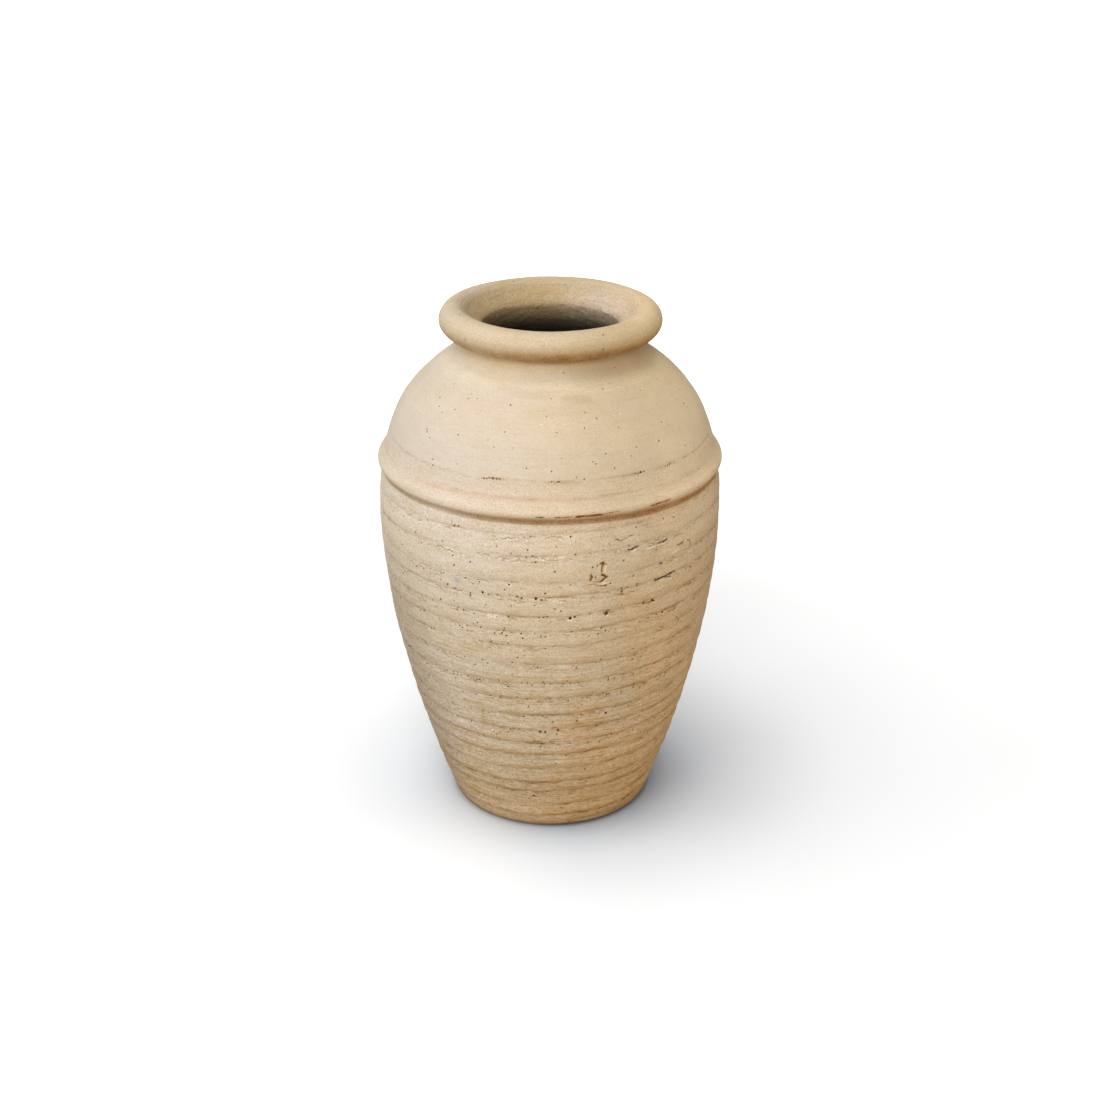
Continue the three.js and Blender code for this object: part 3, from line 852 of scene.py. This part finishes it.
# Colour of the clay by height: on the front, and on the warmer right side, which is partly the clay's own tone and
# partly painted warm light. The near-black rows at the foot's bottom edge are painted contact shade, and the paler
# rows just under the belt (262 to 275) and on the neck's flare (361 to 371) are painted light.
BODY_COLOURS = (
    (0, (0.13, 0.105, 0.08), (0.14, 0.105, 0.075)),
    (2.2, (0.4, 0.27, 0.135), (0.48, 0.3, 0.13)),
    (5, (0.6, 0.43, 0.235), (0.76, 0.49, 0.22)),
    (18, (0.7, 0.53, 0.315), (0.92, 0.62, 0.3)),
    (36, (0.595, 0.445, 0.26), (0.76, 0.5, 0.235)),
    (60, (0.65, 0.515, 0.33), (0.82, 0.55, 0.275)),
    (87, (0.67, 0.54, 0.365), (0.86, 0.585, 0.3)),
    (115, (0.68, 0.56, 0.39), (0.84, 0.585, 0.31)),
    (145, (0.705, 0.585, 0.405), (0.82, 0.575, 0.315)),
    (175, (0.735, 0.6, 0.405), (0.82, 0.575, 0.315)),
    (205, (0.765, 0.63, 0.44), (0.855, 0.61, 0.35)),
    (235, (0.78, 0.645, 0.455), (0.85, 0.63, 0.38)),
    (262, (0.84, 0.705, 0.52), (0.87, 0.675, 0.44)),
    (275, (0.86, 0.73, 0.555), (0.85, 0.62, 0.36)),
    (284, (0.8, 0.65, 0.465), (0.87, 0.665, 0.435)),
    (316, (0.775, 0.64, 0.475), (0.87, 0.685, 0.44)),
    (350, (0.765, 0.62, 0.44), (0.87, 0.675, 0.43)),
    (355, (0.8, 0.67, 0.49), (0.97, 0.77, 0.47)),
    (361, (0.94, 0.8, 0.58), (1.0, 0.83, 0.48)),
    (367, (0.97, 0.83, 0.6), (1.0, 0.8, 0.44)),
    (371, (0.97, 0.78, 0.48), (0.96, 0.74, 0.4)),
    (377, (0.76, 0.6, 0.38), (0.8, 0.58, 0.32)),
    (400, (0.73, 0.59, 0.4), (0.79, 0.59, 0.34)),
)
COOL_SIDE = (1.0, 1.05, 1.17)
PAINTED_SHADE_LOW_LEFT = (0.78, 0.765, 0.75)
PAINTED_SHADE_BAND = (0.925, 0.92, 0.89)
OCHRE_CLOUD = (0.96, 0.94, 0.89)
CREAM_CLOUD = (1.03, 1.03, 1.05)
OCHRE = (0.8, 0.64, 0.385)
CHALK = (1.14, 1.18, 1.31)
SHADE_COOL = (0.83, 0.76, 0.66)
SHADE = (0.79, 0.65, 0.46)
WORN_AND_HIGHLIGHT = (1.11, 1.13, 1.18)
DIRT_AND_SHADE_COOL = (0.67, 0.6, 0.51)
DIRT_AND_SHADE = (0.48, 0.325, 0.165)
PALE_AND_HIGHLIGHT = (1.3, 1.34, 1.48)
SCORCH = (0.8, 0.6, 0.4)
PAINTED_LIGHT_HIGH_RIGHT = (1.12, 1.12, 1.09)
PIT_BROWN = (0.085, 0.036, 0.011, 1)
PIT_EDGE = (0.88, 0.73, 0.54)
STAIN_BROWN = (0.165, 0.052, 0.011, 1)
STAIN_GREY = (0.095, 0.065, 0.038, 1)
STAIN_ORANGE = (0.66, 0.35, 0.165, 1)
STAIN_SMOKE = (0.44, 0.43, 0.42, 1)
FUNNEL_SHADE = (0.74, 0.68, 0.555)
FUNNEL_LIGHT = (0.92, 0.98, 1.24)
INSIDE_SHADE = (0.125, 0.125, 0.135)

# Heights of the bumps in the skin, how thick a flake's edge is, and how fine flakes and pinholes are.
GRAIN_BUMP = 0.00014
FINE_BUMP = 0.0001
FLECK_BUMP = 0.00022
WHEEL_BUMP = 0.00012
FLAKE_BUMP = 0.00022
HOLE_BUMP = 0.0004
FLAKE_EDGE = 0.0018
FLAKE_SCALE = 210.0
PINHOLE_SCALE = 215.0
SPECULAR = 0.25


def clay_material():
    material = bpy.data.materials.new("fired_clay")
    n = Nodes(material)
    place = n.add("TexCoord").outputs["Object"]
    wheel_way = n.attribute("wheel")
    inside, rough_, worn_and_highlight_ = n.parts(n.attribute("zone"))
    brown_, grey_, orange_ = n.parts(n.attribute("marks"))
    hollow_, lip_, pitted_ = n.parts(n.attribute("relief_marks"))
    pits_, shade_, smoke_ = n.parts(n.attribute("soft_marks"))
    side_way, _, up_way = n.parts(place)
    turned = n.parts(wheel_way)[0]
    share_up = n.span(up_way, 0.0, vase_top * MM, how="LINEAR")

    broad = n.noise(place, 14.0, 3.0)
    blotch = n.noise(n.squeezed(wheel_way, 1.8), 55.0, 4.0, 0.6)
    streak = n.noise(n.squeezed(wheel_way, 20), 30.0, 5.0, 0.62)
    fleck = n.noise(n.squeezed(wheel_way, 3.6), 190.0, 4.0, 0.6)
    grain = n.noise(place, 620.0, 3.0, 0.7)
    fine = n.noise(place, 1250.0, 2.0, 0.6)

    # Ochre at the foot to cream at the shoulder, warmer on the right and cooler on the left, partly the clay's own
    # tone and partly painted warm and cool light; then painted shade low on the left, painted light high on the
    # right, and a band of painted shade on the front right.
    front = n.ramp(share_up, [(at / vase_top, on_front) for at, on_front, _ in BODY_COLOURS])
    warm_right = n.ramp(share_up, [(at / vase_top, on_warm_right) for at, _, on_warm_right in BODY_COLOURS])
    side = n.plus(n.times(side_way, 8.0), n.less(broad, 0.5))
    colour = n.mix(n.span(side, -0.1, 0.9), front, warm_right)
    colour = n.tint(colour, n.span(side, 0.1, -0.9), COOL_SIDE)
    shade_low_left = n.times(n.span(turned, -0.066, -0.106), n.span(up_way, 0.25, 0.17))
    colour = n.tint(colour, shade_low_left, PAINTED_SHADE_LOW_LEFT)
    light_high_right = n.times(n.span(turned, 0.06, 0.1), n.span(up_way, 0.23, 0.25))
    colour = n.tint(colour, light_high_right, PAINTED_LIGHT_HIGH_RIGHT)
    shade_band = n.times(n.span(side, 0.04, 0.3), n.span(side, 0.78, 0.5))
    colour = n.tint(colour, shade_band, PAINTED_SHADE_BAND)

    # Clouds, wheel streaks, flecks and grain. Each has its strength by place and two tints, and each tint the value
    # of the noise where it sets in, where it is full, and how much it is then.
    cloudy = n.span(rough_, 0.3, 0.9, 0.55, 1.0)
    streaky = n.times(n.span(up_way, 0.11, 0.24, 0.85, 0.22), cloudy)
    streaky = n.math("MAXIMUM", streaky, n.span(inside, 0.0, 0.3, 0.0, 0.5))
    flecky = n.times(n.span(up_way, 0.08, 0.26, 0.8, 0.2), rough_)
    sandy = n.plus(n.times(rough_, 0.75), -0.1)
    sandy = n.times(sandy, n.span(up_way, 0.09, 0.2, 1.4, 1.0))
    powdery = n.plus(n.times(rough_, 0.75), 0.12)
    for texture, share, tints in (
        (blotch, cloudy, ((0.5, 0.68, 1.0, OCHRE_CLOUD), (0.5, 0.34, 1.0, CREAM_CLOUD))),
        (streak, streaky, ((0.5, 0.7, 1.0, OCHRE), (0.47, 0.3, 1.0, CHALK))),
        (fleck, flecky, ((0.47, 0.33, 1.0, OCHRE), (0.53, 0.66, 1.0, CHALK))),
        (grain, sandy, ((0.48, 0.32, 0.8, OCHRE), (0.53, 0.68, 0.9, CHALK))),
        (fine, powdery, ((0.48, 0.32, 0.9, OCHRE), (0.53, 0.68, 1.0, CHALK))),
    ):
        for sets_in, full, most, factors in tints:
            colour = n.tint(colour, n.times(n.span(texture, sets_in, full, 0.0, most), share), factors)

    # Painted shade under the ridges and ledges, dirt and painted shade in the grooves and creases, ridges worn pale
    # and painted lighter as a highlight, and pale marks, partly painted highlights on raised edges.
    uneven = n.plus(grain, n.times(blotch, 0.6))
    warm_side = n.span(turned, -0.075, 0.02)
    shade_tint = n.mix(warm_side, (*SHADE_COOL, 1), (*SHADE, 1))
    dirt_and_shade_tint = n.mix(warm_side, (*DIRT_AND_SHADE_COOL, 1), (*DIRT_AND_SHADE, 1))
    colour = n.tint(colour, n.times(shade_, n.span(uneven, 0.5, 1.0, 0.75, 1.0)), shade_tint)
    colour = n.tint(colour, n.times(worn_and_highlight_, n.span(fleck, 0.4, 0.6, 0.4, 1.0)), WORN_AND_HIGHLIGHT)
    dirt_and_shade = n.times(hollow_, n.span(uneven, 0.62, 0.98, 0.6, 1.2))
    colour = n.tint(colour, n.times(dirt_and_shade, 0.85, clamp=True), dirt_and_shade_tint)
    pale_and_highlight_share = n.plus(lip_, n.times(n.less(grain, 0.5), 0.9))
    colour = n.tint(colour, n.span(pale_and_highlight_share, 0.26, 0.4), PALE_AND_HIGHLIGHT)

    # Skin torn open below the groove: small hollows, with painted shade under their upper edge and a painted
    # highlight along the lower one.
    torn = n.times(pitted_, n.span(blotch, 0.4, 0.54))
    flake_way = n.squeezed(wheel_way, 2.3)
    flake, flake_above, flake_below = [
        n.span(n.noise(n.vector("ADD", flake_way, (0, 0, shift)), FLAKE_SCALE, 3.0, 0.62), 0.55, 0.575)
        for shift in (0, FLAKE_EDGE, -FLAKE_EDGE)
    ]
    dark = n.times(flake, n.less(1.0, flake_above))
    pale = n.times(flake, n.less(1.0, flake_below))
    colour = n.tint(colour, n.times(n.times(dark, torn), 0.8), DIRT_AND_SHADE)
    colour = n.tint(colour, n.times(pale, torn), PALE_AND_HIGHLIGHT)

    # Pinholes, thicker on the ground along the groove, and the larger pits, painted dark brown as the shade inside
    # each hole, the larger ones in a darker ochre ring.
    holes = n.add("TexVoronoi", {"Vector": place, "Scale": PINHOLE_SCALE, "Randomness": 1.0})
    picked = n.parts(holes.outputs["Color"])[0]
    wanted = n.less(picked, n.times(pitted_, 0.22))
    pinhole = n.times(n.span(holes.outputs["Distance"], 0.17, 0.1), n.span(wanted, 0.11, 0.05), clamp=True)
    round_pit = n.plus(pits_, n.times(n.less(fine, 0.5), 0.3))
    colour = n.tint(colour, n.span(round_pit, 0.3, 0.5), PIT_EDGE)
    hole = n.math("MAXIMUM", n.times(pinhole, 0.75), n.span(round_pit, 0.42, 0.54))
    colour = n.mix(hole, colour, PIT_BROWN)

    # Stains of the fire, ragged at their edges.
    ragged = n.times(n.less(n.plus(fine, grain), 1.0), 1.2)
    colour = n.mix(n.times(orange_, 0.9, clamp=True), colour, STAIN_ORANGE)
    colour = n.mix(n.times(smoke_, 0.9, clamp=True), colour, STAIN_SMOKE)
    soft_grey = n.times(grey_, 0.4, clamp=True)
    hard_grey = n.span(n.plus(grey_, ragged), 0.48, 0.62)
    colour = n.mix(n.math("MAXIMUM", soft_grey, hard_grey), colour, STAIN_GREY)
    colour = n.tint(colour, n.span(brown_, 0.05, 0.6), SCORCH)
    hard_brown = n.span(n.plus(brown_, ragged), 0.46, 0.62, 0.0, 0.95)
    colour = n.mix(hard_brown, colour, STAIN_BROWN)

    # The funnel darkened to ochre with depth as painted shade, paler on its lit side as painted light, and painted
    # near black further in as shade.
    funnel_share = n.span(inside, 0.0, 0.5, how="LINEAR")
    funnel_lit_side = n.span(turned, -0.02, 0.09)
    colour = n.tint(colour, n.times(funnel_share, n.less(1.0, funnel_lit_side)), FUNNEL_SHADE)
    colour = n.tint(colour, n.times(funnel_share, funnel_lit_side), FUNNEL_LIGHT)
    colour = n.tint(colour, n.span(inside, 0.5, 1.0, how="LINEAR"), INSIDE_SHADE)

    bumps = n.plus(n.times(grain, GRAIN_BUMP), n.times(fine, FINE_BUMP))
    bumps = n.plus(bumps, n.times(fleck, FLECK_BUMP))
    bumps = n.times(bumps, powdery)
    wheel_marks = n.noise(n.squeezed(wheel_way, 12), 90.0, 4.0, 0.6)
    bumps = n.plus(bumps, n.times(wheel_marks, WHEEL_BUMP))
    bumps = n.plus(bumps, n.times(n.times(flake, torn), -FLAKE_BUMP))
    bumps = n.less(bumps, n.times(hole, HOLE_BUMP))
    bump = n.add("Bump", {"Height": bumps, "Strength": 1.0, "Distance": 1.0})
    shader = n.add("BsdfPrincipled", {"Base Color": colour, "Normal": bump.outputs["Normal"]})
    n.put(shader.inputs["Specular IOR Level"], SPECULAR)
    n.put(shader.inputs["Roughness"], n.span(grain, 0.3, 0.7, 0.84, 0.96))
    n.add("OutputMaterial", {"Surface": shader.outputs[0]})
    return material


clay = clay_material()

# The six pieces. Wall and shoulder are cut back behind the belt, which sits there with a clearance.
behind_belt = (
    (radius_at(wall_line, seat_height) - BELT_SEAT_DEPTH, seat_height),
    (radius_at(wall_line, joint_height) - BELT_SEAT_DEPTH, joint_height),
    (belt_top_radius - BELT_SEAT_DEPTH, belt_top),
)
at_seat, at_joint, at_top = [hidden_ring(radius, at) for radius, at in behind_belt]
belt_back = [hidden_ring(radius + BELT_CLEARANCE, at) for radius, at in reversed(behind_belt)]
PIECES = (
    ("foot_and_floor", "floor_slab", "ribbed_clay", ("foot", "inner_floor"), ()),
    ("ribbed_wall", "lower_wall", "ribbed_clay", ("wall", "inner_wall"), ([at_seat, at_joint],)),
    ("belt", "belt_coil", "smooth_clay", ("belt",), (belt_back,)),
    ("shoulder", "shoulder_dome", "smooth_clay", ("dome", "inner_dome"), ((), [at_joint, at_top])),
    ("neck", "neck_collar", "smooth_clay", ("neck", "inner_neck"), ()),
    ("rolled_lip", "rim_roll", "smooth_clay", ("lip",), ()),
)
for piece_of_vase in PIECES:
    make_piece(*piece_of_vase)


# Floor: white to the camera, also far off where the lamps reach less, grey where the vase shades it, with a painted
# contact shadow close round the foot that is paler on the left, and cooler round the foot, where the clay throws warm
# light on it. Each row is a distance from the axis and the share of the white.
FLOOR_SIZE = 14
FLOOR_NEAR = 1.28
FLOOR_FAR = 10.1
FLOOR_SPAN = (0.4, 10.5)
PALER_SIDE = (0.03, -0.07, 0.0, 0.38)
FLOOR_SHADOW_BY_DISTANCE = (
    (73, (0.13, 0.14, 0.16)),
    (77, (0.24, 0.27, 0.31)),
    (81, (0.52, 0.59, 0.68)),
    (86, (0.59, 0.67, 0.76)),
    (98, (0.7, 0.78, 0.865)),
    (124, (0.83, 0.89, 0.955)),
    (150, (0.87, 0.91, 0.955)),
    (180, (0.91, 0.935, 0.965)),
    (250, (0.96, 0.975, 0.99)),
    (400, (1.0, 1.0, 1.0)),
)
FLOOR_BOUNCE = (0.66, 0.64, 0.62, 1)


def seen_by_camera(n):
    path = n.add("LightPath").outputs
    by_way = n.math("MAXIMUM", path["Is Glossy Ray"], path["Is Transmission Ray"])
    return n.math("MAXIMUM", path["Is Camera Ray"], by_way)


def stage():
    bpy.ops.mesh.primitive_grid_add(x_subdivisions=2, y_subdivisions=2, size=FLOOR_SIZE, location=(0, 0, 0))
    floor = bpy.context.object
    floor.name = "floor"
    material = bpy.data.materials.new("paper")
    n = Nodes(material)
    place = n.add("TexCoord").outputs["Object"]
    away = n.add("VectorMath", {0: place}, operation="LENGTH").outputs["Value"]
    reach = FLOOR_SHADOW_BY_DISTANCE[-1][0]
    share = n.span(away, 0.0, reach * MM, how="LINEAR")
    # Painted contact shadow and cooling round the foot, by distance from the axis.
    shadow_and_cooling = n.ramp(share, [(at / reach, colour) for at, colour in FLOOR_SHADOW_BY_DISTANCE])
    shadow_and_cooling = n.mix(n.span(n.parts(place)[0], *PALER_SIDE), shadow_and_cooling, (1, 1, 1, 1))
    strength = n.span(away, *FLOOR_SPAN, FLOOR_NEAR, FLOOR_FAR, how="LINEAR")
    white = n.add("VectorMath", {0: shadow_and_cooling, "Scale": strength}, operation="SCALE")
    shader = n.add("BsdfDiffuse", {"Color": n.mix(seen_by_camera(n), FLOOR_BOUNCE, white.outputs[0])})
    n.add("OutputMaterial", {"Surface": shader.outputs[0]})
    floor.data.materials.append(material)


stage()

# Soft lamps round the vase: their directions, from +X anticlockwise and up, and their power at one metre.
LAMP_DISTANCE = 7.8
LAMP_WIDTH = 0.69 * LAMP_DISTANCE
LAMP_AIM = Vector((0, 0, 0.2))
LAMPS = (
    ("left_low", 185, 30, 1.45),
    ("left_high", 190, 60, 0.78),
    ("front_left_low", 235, 30, 1.29),
    ("front_left_high", 235, 60, 1.5),
    ("front", 270, 20, 4.19),
    ("top", 270, 88, 2.84),
    ("right", 350, 50, 0.77),
    ("back_left", 140, 50, 1.1),
    ("back", 90, 60, 0.59),
)


def lamp(name, azimuth, elevation, power):
    a, e = math.radians(azimuth), math.radians(elevation)
    way = Vector((math.cos(e) * math.cos(a), math.cos(e) * math.sin(a), math.sin(e)))
    data = bpy.data.lights.new(name, "AREA")
    data.shape = "DISK"
    data.size = LAMP_WIDTH
    data.energy = power * LAMP_DISTANCE**2
    light = bpy.data.objects.new(name, data)
    light.location = LAMP_AIM + LAMP_DISTANCE * way
    light.rotation_euler = (LAMP_AIM - light.location).to_track_quat("-Z", "Y").to_euler()
    bpy.context.scene.collection.objects.link(light)


for row in LAMPS:
    lamp(*row)

# All light comes from the lamps and the floor: the world is only white behind it.
world = bpy.data.worlds.new("studio")
bpy.context.scene.world = world
n = Nodes(world)
dark = n.add("Background", {"Color": (1, 1, 1, 1), "Strength": 0.0})
white = n.add("Background", {"Color": (1, 1, 1, 1), "Strength": 1.0})
mixed = n.add("MixShader", {0: seen_by_camera(n), 1: dark.outputs[0], 2: white.outputs[0]})
n.add("OutputWorld", {"Surface": mixed.outputs[0]})

bpy.context.scene.view_settings.view_transform = "Standard"
